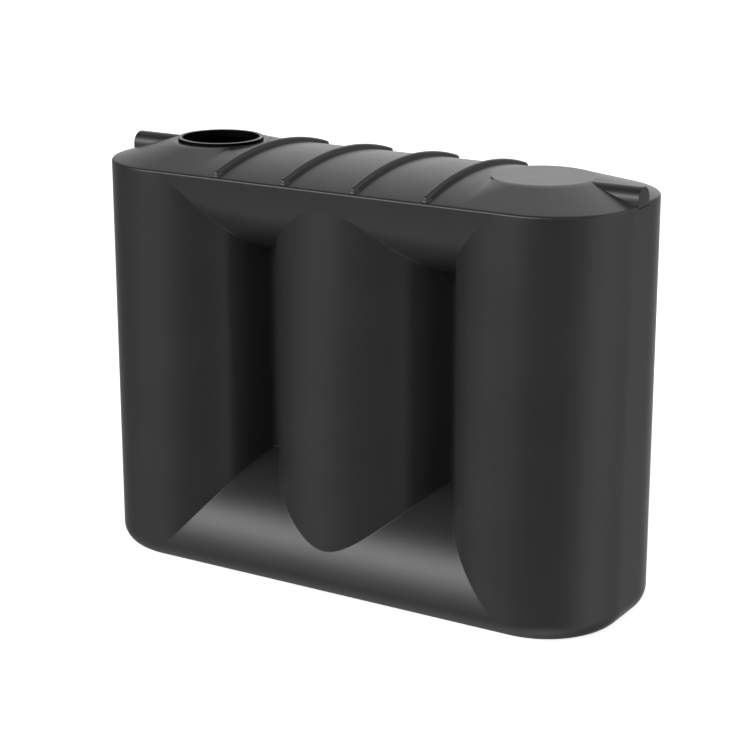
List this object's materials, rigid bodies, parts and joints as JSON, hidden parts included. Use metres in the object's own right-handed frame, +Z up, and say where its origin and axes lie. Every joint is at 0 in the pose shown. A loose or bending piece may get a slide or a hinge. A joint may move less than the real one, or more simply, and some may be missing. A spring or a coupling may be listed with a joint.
{
  "type": "slimline water tank",
  "caption": "Tall narrow rounded water tank with deep side pockets, a shallow ribbed barrel roof, an open collared inlet at one end and a flat pad at the other.",
  "frame": {"origin": "centre of the base, on the level surface the tank stands on", "axes": "+X along the tank towards the flat roof pad, +Y across it towards the back, +Z up"},
  "size_m": [2.938, 1.056, 2.2155],
  "materials": {
    "tank_body": "satin charcoal moulded polyethylene with a fine orange-peel grain",
    "inlet_black": "black moulded collar with a trimmed, lighter top edge"
  },
  "bodies": {
    "root": {"base_floor": "tank_body", "front_skirt": "tank_body", "back_skirt": "tank_body", "left_end_skirt": "tank_body", "right_end_skirt": "tank_body", "left_front_corner_skirt": "tank_body", "left_back_corner_skirt": "tank_body", "right_front_corner_skirt": "tank_body", "right_back_corner_skirt": "tank_body", "left_front_corner_wall": "tank_body", "left_end_panel": "tank_body", "left_back_corner_wall": "tank_body", "right_front_corner_wall": "tank_body", "right_end_panel": "tank_body", "right_back_corner_wall": "tank_body", "front_left_flank": "tank_body", "front_centre_column": "tank_body", "front_right_flank": "tank_body", "front_sill": "tank_body", "front_hood": "tank_body", "back_left_flank": "tank_body", "back_centre_column": "tank_body", "back_right_flank": "tank_body", "back_sill": "tank_body", "back_hood": "tank_body", "roof_vault": "tank_body", "left_roof_hip": "tank_body", "right_roof_hip": "tank_body", "right_roof_pad": "tank_body", "inlet_seat": "tank_body", "rib_1": "tank_body", "rib_2": "tank_body", "rib_3": "tank_body", "rib_4": "tank_body", "left_overflow_boss": "tank_body", "right_overflow_boss": "tank_body", "inlet_collar": "inlet_black"}
  },
  "joints": []
}
